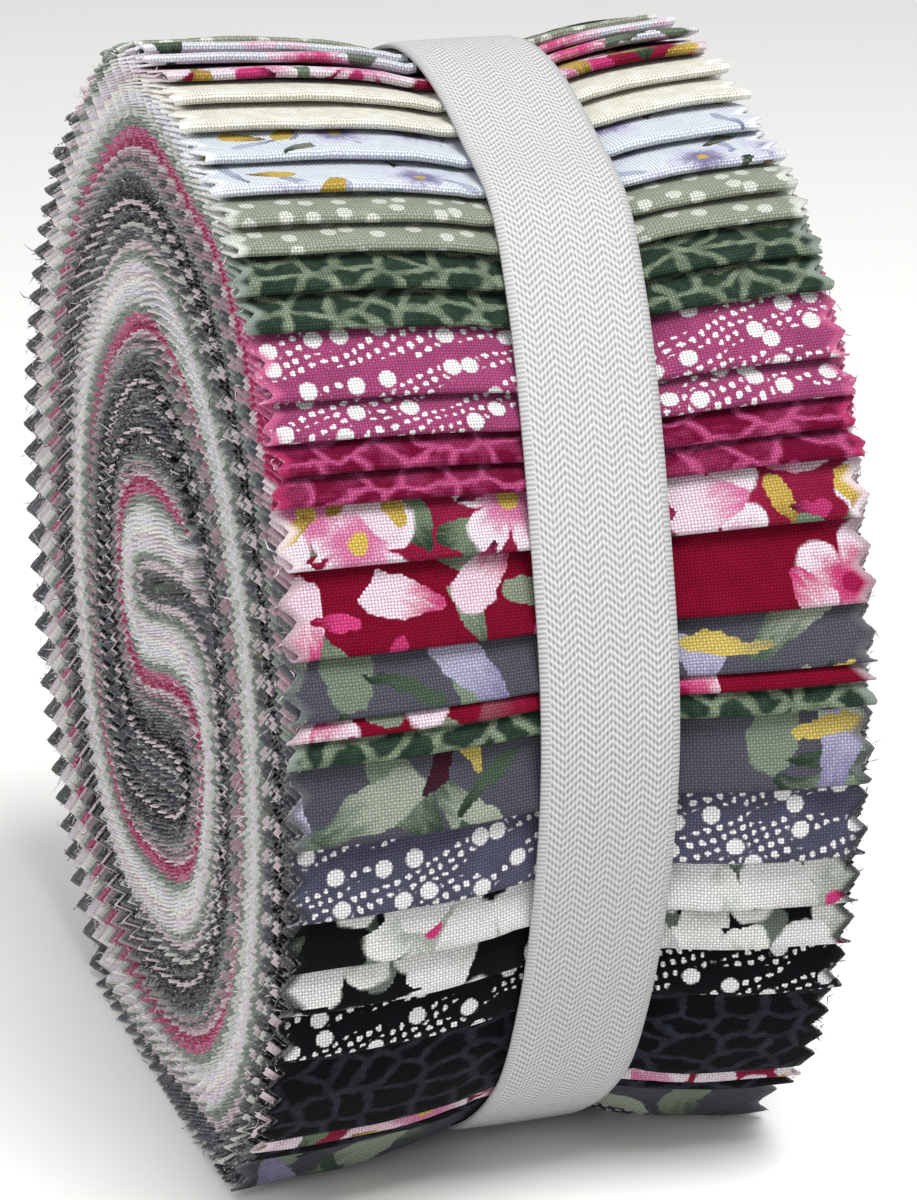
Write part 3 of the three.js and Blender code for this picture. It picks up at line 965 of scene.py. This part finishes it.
def print_black_floral(shade, place):
    place = brushed(shade, place, 0.7)
    pale, green = linear(112, 122, 114), linear(60, 70, 62)
    inked = petals(shade, place, linear(17, 19, 22), 8, 4.6, pale, green, 0.8, 0.2)
    tip, base = linear(228, 231, 225), linear(166, 174, 164)
    inked = flowers(shade, place, inked, 14, 2.7, tip, base, ROSE)
    return petals(shade, place, inked, 9.5, 7.3, WHITE, linear(200, 202, 198), 0.95, 0.34)


def print_black_dots(shade, place):
    return spotted(shade, place, linear(18, 19, 24), WHITE)


def print_black_crackle(shade, place):
    return crackled(shade, place, linear(9, 10, 14), linear(50, 52, 63), 3.4, 0.17)


def print_lilac_floral(shade, place):
    place = brushed(shade, place, 0.6)
    ground = shade.mix(shade.noise(place, 0.25), linear(196, 198, 212), linear(224, 225, 230))
    inked = petals(shade, place, ground, 9, 3.3, linear(106, 118, 102), DEEP_GREEN, 0.5, 0.2)
    return flowers(shade, place, inked, 11, 6.6, linear(226, 196, 212), ROSE, YELLOW, 0.6)


# Each cloth: its print, and what its loose threads mostly look like, beside bare white ones.
CLOTHS = {
    "cream": (print_cream, linear(238, 236, 230)),
    "blue_floral": (print_blue_floral, linear(226, 228, 234)),
    "sage_dots": (print_sage_dots, linear(206, 210, 202)),
    "green_crackle": (print_green_crackle, linear(136, 147, 138)),
    "pink_dots": (print_pink_dots, linear(186, 92, 132)),
    "crimson": (print_crimson, linear(166, 48, 92)),
    "blush_floral": (print_blush_floral, linear(214, 200, 206)),
    "tulip_floral": (print_tulip_floral, linear(168, 146, 154)),
    "slate_leaf": (print_slate_leaf, linear(92, 94, 98)),
    "slate_dots": (print_slate_dots, linear(56, 58, 64)),
    "black_floral": (print_black_floral, linear(24, 26, 28)),
    "black_dots": (print_black_dots, linear(22, 23, 26)),
    "black_crackle": (print_black_crackle, linear(14, 15, 20)),
    "lilac_floral": (print_lilac_floral, linear(224, 218, 226)),
}


def weave(shade, place, wavy, pitch):
    """Plain weave: the threads' height, and how light they are from 0 to 1, darkened by painted shade
    in their dips and holes.
    """
    along, across = shade.parts(shade.vector("SCALE", wavy, scale=math.pi / pitch))
    waves = [shade.maths("SINE", part) for part in (along, across)]
    # Warp and weft lie uppermost by turns, with small holes between them, where the painted shade is
    # darkest.
    lifted = shade.maths("MULTIPLY", *waves)
    narrow = [shade.maths("SUBTRACT", 1.0, shade.maths("ABSOLUTE", wave)) for wave in waves]
    hole = shade.maths("POWER", shade.maths("MULTIPLY", *narrow), 0.6)
    height = shade.maths("SUBTRACT", shade.maths("MULTIPLY_ADD", lifted, 0.16, 0.84), hole)
    # No two threads are alike in tone.
    warp = shade.noise(shade.vector("MULTIPLY", place, (0.6, 5.0, 0)), 1.0, 2.0)
    weft = shade.noise(shade.vector("MULTIPLY", place, (5.0, 0.4, 0)), 1.0, 1.0)
    uneven = shade.maths("MULTIPLY_ADD", shade.maths("ADD", warp, weft), 0.36, 0.64)
    # Painted shade: the colour is darker where the threads dip and darkest in the holes between them.
    light = shade.maths("MULTIPLY_ADD", height, 0.68, 0.21)
    return height, shade.maths("MULTIPLY", light, uneven)


def frayed(shade, place, colour, threads, depth):
    """The colour, which fades near the pinked edge to that of its loose threads and bare cotton."""
    teeth = shade.node("Attribute", attribute_name="teeth").outputs["Fac"]
    saw = shade.maths("MULTIPLY_ADD", shade.maths("FRACT", teeth), 2.0, -1.0)
    _, v = shade.parts(place)
    room = shade.maths("SUBTRACT", HALF_WIDTH, shade.maths("ABSOLUTE", v))
    cut = shade.maths("MULTIPLY", shade.maths("ABSOLUTE", saw), depth)
    to_edge = shade.maths("SUBTRACT", room, cut)
    soft = shade.maths("MULTIPLY", shade.step(to_edge, 1.6, 0.3), 0.85)
    colour = shade.mix(soft, colour, toned(threads, 0.8))
    rough = shade.noise(place, 3.0, 2.0)
    worn = shade.step(shade.maths("MULTIPLY_ADD", rough, 0.5, to_edge), 0.62, 0.2)
    bare = shade.step(shade.noise(place, 2.6, 1.0), 0.35, 0.75)
    bare = shade.maths("MULTIPLY_ADD", bare, 0.24, 0.02)
    return shade.mix(shade.maths("MULTIPLY", worn, bare), colour, linear(206, 203, 205))


def cloth_material(name, sizes):
    """A printed quilting cotton: its print, plain weave and frayed pinked edges."""
    draw_print, threads = CLOTHS[name]
    shade = Shade(name, 0.9, 0.02, 0.06)
    place = cloth_place(shade)
    pitch = sizes.thread_pitch / MM
    drift = shade.node("TexNoise", {"Vector": place, "Scale": 0.4, "Detail": 1.0})
    wavy = shade.vector("ADD", place, shade.vector("SCALE", drift.outputs["Color"], scale=0.25))
    # The threads break up the outlines of the print a little.
    crossing = shade.vector("SNAP", wavy, (pitch, pitch, 1.0))
    stepped = shade.vector("SCALE", shade.vector("ADD", wavy, crossing), scale=0.5)
    colour = draw_print(shade, shifted(shade, stepped))
    height, light = weave(shade, place, wavy, pitch)
    # The print is darkened by the weave's painted shade and by each thread's own tone.
    woven = shade.vector("SCALE", colour, scale=light)
    colour = frayed(shade, place, woven, threads, sizes.tooth_depth / MM)
    shade.woven_finish(colour, height, 0.6, 0.1)
    return shade.material


def tape_material(sizes):
    """Off-white herringbone twill tape, with painted shade in the grooves of its weave."""
    shade = Shade("twill_tape", 0.9, 0.03, 0.15)
    place = cloth_place(shade)
    along, across = shade.parts(place)

    def ribs(distance, spacing, depth, middle):
        wave = shade.maths("SINE", shade.maths("MULTIPLY", distance, TURN / spacing))
        return shade.maths("MULTIPLY_ADD", wave, depth, middle)

    zigzag = shade.maths("PINGPONG", shade.maths("DIVIDE", across, sizes.column / MM), 1.0)
    ridge = shade.maths("MULTIPLY_ADD", zigzag, 1.5, along)
    height = ribs(across, 0.42, 0.22, ribs(ridge, 0.85, 0.28, 0.66))
    inner = TAPE_WIDTH / 2 - SELVEDGE
    selvedge = shade.step(shade.maths("ABSOLUTE", across), inner, inner + 0.15)
    height = shade.mix(selvedge, height, ribs(along, 0.5, 0.22, 0.6))
    tone = shade.noise(place, 1.6, 3.0)
    # Painted shade: the colour runs from light on the ribs to dark in the grooves between them, by the
    # weave's height.
    light = shade.mix(tone, linear(186, 186, 186), linear(197, 197, 196))
    dark = shade.mix(tone, linear(96, 96, 99), linear(120, 120, 123))
    shade.woven_finish(shade.mix(height, dark, light), height, 0.8, 0.2)
    return shade.material


def thread_material():
    """Loose cotton fibres, each with the colour of the strip that it frays from."""
    shade = Shade("frayed_thread", 0.9, 0.03, 0.15)
    tint = shade.node("Attribute", attribute_name="tint").outputs["Color"]
    shade.put(shade.shader.inputs["Base Color"], tint)
    return shade.material


def floor_material(settings):
    """The plain floor, very slightly uneven in tone."""
    shade = Shade("floor", 0.7, 0.0, 0.3)
    tone = shade.noise(shade.node("TexCoord").outputs["Object"], 3.0, 2.0)
    base = tuple(settings.floor_colour)
    shade.put(shade.shader.inputs["Base Color"], shade.mix(tone, base, toned(base, 0.97)))
    return shade.material


class StripSizes(bpy.types.PropertyGroup):
    """Sizes of the strips' pinked edges and of their weave"""

    tooth_pitch: bpy.props.FloatProperty(
        name="Tooth pitch",
        description="Distance from one tooth of the pinked edge to the next",
        default=0.0037,
        unit="LENGTH",
    )
    tooth_depth: bpy.props.FloatProperty(
        name="Tooth depth",
        description="How far the pinked edge is cut in between two teeth",
        default=0.0017,
        unit="LENGTH",
    )
    thread_pitch: bpy.props.FloatProperty(
        name="Thread pitch",
        description="Distance between neighbouring threads of the cotton",
        default=0.00034,
        unit="LENGTH",
    )


class FraySizes(bpy.types.PropertyGroup):
    """Number and sizes of the loose fibres"""

    fibres: bpy.props.IntProperty(
        name="Fibres",
        description="Loose fibres on each end of the roll",
        default=18000,
    )
    length: bpy.props.FloatProperty(
        name="Fibre length",
        description="Usual length of a loose fibre",
        default=0.0009,
        unit="LENGTH",
    )
    thickness: bpy.props.FloatProperty(
        name="Fibre thickness",
        description="Thickness of a loose fibre or thread",
        default=0.00007,
        unit="LENGTH",
    )


class TapeSizes(bpy.types.PropertyGroup):
    """Sizes of the woven tape"""

    column: bpy.props.FloatProperty(
        name="Herringbone column",
        description="Width of one column of the herringbone weave",
        default=0.0017,
        unit="LENGTH",
    )
    thickness: bpy.props.FloatProperty(
        name="Tape thickness",
        description="Thickness of the woven tape",
        default=0.0008,
        unit="LENGTH",
    )


class StageSettings(bpy.types.PropertyGroup):
    """Floor colour and camera"""

    floor_colour: bpy.props.FloatVectorProperty(
        name="Floor colour",
        description="Colour of the plain floor",
        default=linear(236, 235, 233),
        subtype="COLOR",
    )
    azimuth: bpy.props.FloatProperty(
        name="Azimuth",
        description="Where the camera stands, from the front towards the left",
        default=math.radians(-18.176),
        subtype="ANGLE",
    )
    elevation: bpy.props.FloatProperty(
        name="Elevation",
        description="How far above the horizon the camera stands",
        default=math.radians(18.091),
        subtype="ANGLE",
    )
    lens: bpy.props.FloatProperty(
        name="Lens",
        description="Focal length on a 36 mm frame, in mm",
        default=120.0,
    )


def finished(piece, material):
    """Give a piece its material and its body."""
    piece.data.materials.append(material)
    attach(piece, "root")


class STRIPROLL_OT_wind_strips(bpy.types.Operator):
    """Wind the forty folded strips"""

    bl_idname = "striproll.wind_strips"
    bl_label = "Wind strips"

    def execute(self, context):
        sizes = context.scene.strip_sizes
        materials = {name: cloth_material(name, sizes) for name in CLOTHS}
        for place, (cloth, _, along, across) in enumerate(FOLDS):
            strip = mesh_object(f"strip_{place + 1:02d}_{cloth}", **strip_mesh(place, sizes))
            strip["cut_from"] = (float(along), float(across), 0.0)
            finished(strip, materials[cloth])
            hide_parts("roll")
        return {"FINISHED"}


class STRIPROLL_OT_fray_edges(bpy.types.Operator):
    """Fray the pinked edges into loose fibres"""

    bl_idname = "striproll.fray_edges"
    bl_label = "Fray edges"

    def execute(self, context):
        sizes = context.scene.strip_sizes
        fray = context.scene.fray_sizes
        material = thread_material()
        for name, side, seed in (("frayed_threads_left", -1, 11), ("frayed_threads_right", 1, 12)):
            points, faces, tints = fibres(side, seed, sizes, fray)
            piece = mesh_object(name, points, faces, colours={"tint": tints})
            finished(piece, material)
        return {"FINISHED"}


def fibres(side, seed, sizes, fray):
    """Loose fibres along the pinked edges on one side: bent spindles, thin and closed."""
    chance = np.random.default_rng(seed)
    count = fray.fibres
    places = chance.integers(0, STRIP_COUNT, count)
    layers = chance.integers(0, 2, count)
    roots, heading = np.zeros((2, count, 3))
    tints = np.ones((count, 4))
    for place in range(STRIP_COUNT):
        for layer in (0, 1):
            mine = np.nonzero((places == place) & (layers == layer))[0]
            rows = layer_rows(place, layer, sizes)
            at = chance.uniform(0, len(rows["teeth"]) - 1.001, len(mine))
            roots[mine], angle = fibre_roots(place, side, rows, at, sizes)
            tangent = section_point(angle + 90, 1.0)
            heading[mine, 1:] = tangent * chance.normal(0, 0.8, (len(mine), 1))
            base = np.array(CLOTHS[FOLDS[place][0]][1])
            bare = chance.random((len(mine), 1)) < BARE_SHARE
            bare = bare * chance.uniform(*BARE_TONES, (len(mine), 1))
            tints[mine, :3] = lerp(base, np.array(WHITE), bare)
    heading[:, 0] = side * chance.uniform(0.15, 1.0, count)
    heading[:, 1:] += chance.normal(0, 0.45, (count, 2))
    heading /= np.linalg.norm(heading, axis=1)[:, None]
    long = fray.length * chance.lognormal(-0.1, 0.45, count)[:, None]
    bend = np.cross(heading, chance.normal(0, 1, (count, 3)))
    bend /= np.linalg.norm(bend, axis=1)[:, None]
    lift = np.cross(heading, bend)
    thick = fray.thickness * chance.uniform(0.7, 1.3, (count, 1))
    middle = roots + heading * long * 0.5 + bend * long * chance.uniform(0.05, 0.3, (count, 1))
    around = [i * TURN / 3 for i in range(3)]
    ring = [middle + thick * (math.cos(a) * bend + math.sin(a) * lift) for a in around]
    points = np.stack([roots, *ring, roots + heading * long], 1).reshape(-1, 3)
    points[:, 2] = np.maximum(points[:, 2], FIBRE_FLOOR)
    starts = SPINDLE_POINTS * np.arange(count)[:, None, None]
    faces = (starts + SPINDLE).reshape(-1, 3).tolist()
    return points, faces, np.repeat(tints, SPINDLE_POINTS, axis=0)


def fibre_roots(place, side, rows, at, sizes):
    """Where fibres leave one layer's edge, counted in rows from its fold, and at what angle."""
    low = at.astype(int)

    def between(key, part):
        return lerp(rows[key][low], rows[key][low + 1], part)

    section = between("section", (at - low)[:, None])
    angle, over, teeth = (between(key, at - low) for key in ("angle", "over", "teeth"))
    edge = HALF_WIDTH - tooth_depth(teeth, sizes.tooth_depth / MM)
    x = side * edge + edge_offset(place, angle)
    radial = section / np.linalg.norm(section, axis=1)[:, None]
    section = pressed(section - cinch(x, angle, over)[:, None] * radial, over, np.zeros(len(at)))
    return placed(x - side * FIBRE_ROOT, section), angle


class STRIPROLL_OT_tie_tape(bpy.types.Operator):
    """Tie the woven tape round the middle"""

    bl_idname = "striproll.tie_tape"
    bl_label = "Tie tape"

    def execute(self, context):
        sizes = context.scene.tape_sizes
        made, length = tape_mesh(sizes.thickness / MM)
        tape = mesh_object("tape_band", **made)
        finished(tape, tape_material(sizes))
        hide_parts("tape")
        return {"FINISHED"}


def tape_mesh(thickness):
    """The tape as one band from its under end, round the waist, to its upper end at the back."""
    first, lap = TAPE_LAP[0], TAPE_LAP[1] - TAPE_LAP[0]
    angles = np.arange(first, first + 360 + lap, TAPE_STEP)
    rise = smoothstep(angles, first + 360 - TAPE_CLIMB, first + 360)
    over_cloth = thickness * (0.5 + rise * TAPE_LAP_RISE)
    section = section_point(angles, crest_radius(angles) - CINCH_DEPTH + TAPE_GAP + over_cloth)
    along = lengths(section)
    outward = normals(section)
    if np.dot(outward[10], section[10]) < 0:
        outward = -outward
    columns = np.linspace(-TAPE_WIDTH / 2, TAPE_WIDTH / 2, TAPE_COLUMNS)
    thinned = np.clip((TAPE_WIDTH / 2 - np.abs(columns)) / TAPE_EDGE, TAPE_THINNEST, 1)
    crown = TAPE_CROWN * np.cos(columns / TAPE_WIDTH * math.pi)
    x = tape_centre(angles)[:, None] + columns
    layers = []
    for side in (1, -1):
        lift = crown + side * thickness / 2 * thinned
        points = section[:, None] + outward[:, None] * lift[:, None]
        layers.append(placed(x, points).reshape(-1, 3))
    sides, rim = band_faces([columns] * len(angles))
    uv = np.stack(np.broadcast_arrays(along[:, None], columns), -1).reshape(-1, 2)
    made = {"points": np.vstack(layers), "sides": sides, "rim": rim, "uv": np.vstack([uv, uv])}
    return made, along[-1]


class STRIPROLL_OT_set_stage(bpy.types.Operator):
    """Lay the floor, hang the lights and place the camera"""

    bl_idname = "striproll.set_stage"
    bl_label = "Set stage"

    def execute(self, context):
        settings = context.scene.stage_settings
        mesh = bpy.data.meshes.new("floor")
        signs = ((-1, -1), (1, -1), (1, 1), (-1, 1))
        corners = [(x * FLOOR_HALF, y * FLOOR_HALF, 0) for x, y in signs]
        mesh.from_pydata(corners, [], [(0, 1, 2, 3)])
        floor = bpy.data.objects.new("floor", mesh)
        mesh.materials.append(floor_material(settings))
        context.scene.collection.objects.link(floor)
        for name, (place, size, power) in LIGHTS.items():
            soft_light(name, place, size, power)
        world = bpy.data.worlds.new("studio")
        world.use_nodes = True
        background = world.node_tree.nodes["Background"]
        background.inputs["Color"].default_value = (1, 1, 1, 1)
        background.inputs["Strength"].default_value = WORLD_STRENGTH
        context.scene.world = world
        context.scene.view_settings.view_transform = "Standard"
        self.place_camera(context, settings)
        return {"FINISHED"}

    def place_camera(self, context, settings):
        """Place the camera as fitted to the photograph."""
        data = bpy.data.cameras.new("camera")
        data.sensor_width = SENSOR_WIDTH
        data.sensor_fit = "AUTO"
        data.lens = settings.lens
        camera = bpy.data.objects.new("camera", data)
        context.scene.collection.objects.link(camera)
        camera.location = CENTRE + Vector(CAMERA_PLACE) * MM
        flat, height = math.cos(settings.elevation), math.sin(settings.elevation)
        azimuth = settings.azimuth
        back = Vector((math.sin(azimuth) * flat, -math.cos(azimuth) * flat, height))
        camera.rotation_mode = "QUATERNION"
        camera.rotation_quaternion = (-back).to_track_quat("-Z", "Y")
        context.scene.camera = camera


def soft_light(name, place, size, power):
    """A square soft light that looks at the roll."""
    data = bpy.data.lights.new(name, "AREA")
    data.size = size
    data.energy = power
    light = bpy.data.objects.new(name, data)
    bpy.context.scene.collection.objects.link(light)
    light.location = CENTRE + Vector(place)
    light.rotation_mode = "QUATERNION"
    light.rotation_quaternion = (-Vector(place)).to_track_quat("-Z", "Y")


class STRIPROLL_PT_panel(bpy.types.Panel):
    """Sizes, colours and steps of the roll"""

    bl_label = "Strip Roll"
    bl_idname = "STRIPROLL_PT_panel"
    bl_space_type = "VIEW_3D"
    bl_region_type = "UI"
    bl_category = "Strip Roll"

    def draw(self, context):
        for group in GROUPS:
            settings = getattr(context.scene, group)
            for key in settings.__annotations__:
                self.layout.prop(settings, key)
        for step in STEPS:
            self.layout.operator(step.bl_idname)


GROUPS = {
    "strip_sizes": StripSizes,
    "fray_sizes": FraySizes,
    "tape_sizes": TapeSizes,
    "stage_settings": StageSettings,
}
STEPS = (
    STRIPROLL_OT_set_stage,
    STRIPROLL_OT_wind_strips,
    STRIPROLL_OT_fray_edges,
    STRIPROLL_OT_tie_tape,
)


def register():
    for group, kind in GROUPS.items():
        bpy.utils.register_class(kind)
        setattr(bpy.types.Scene, group, bpy.props.PointerProperty(type=kind))
    for step in STEPS:
        bpy.utils.register_class(step)
    bpy.utils.register_class(STRIPROLL_PT_panel)


def unregister():
    bpy.utils.unregister_class(STRIPROLL_PT_panel)
    for step in reversed(STEPS):
        bpy.utils.unregister_class(step)
    for group, kind in GROUPS.items():
        delattr(bpy.types.Scene, group)
        bpy.utils.unregister_class(kind)


def main():
    """Build the roll in the frame."""
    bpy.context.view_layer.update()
    register()
    bpy.ops.striproll.set_stage()
    bpy.ops.striproll.wind_strips()
    bpy.ops.striproll.fray_edges()
    bpy.ops.striproll.tie_tape()


if __name__ == "__main__":
    main()
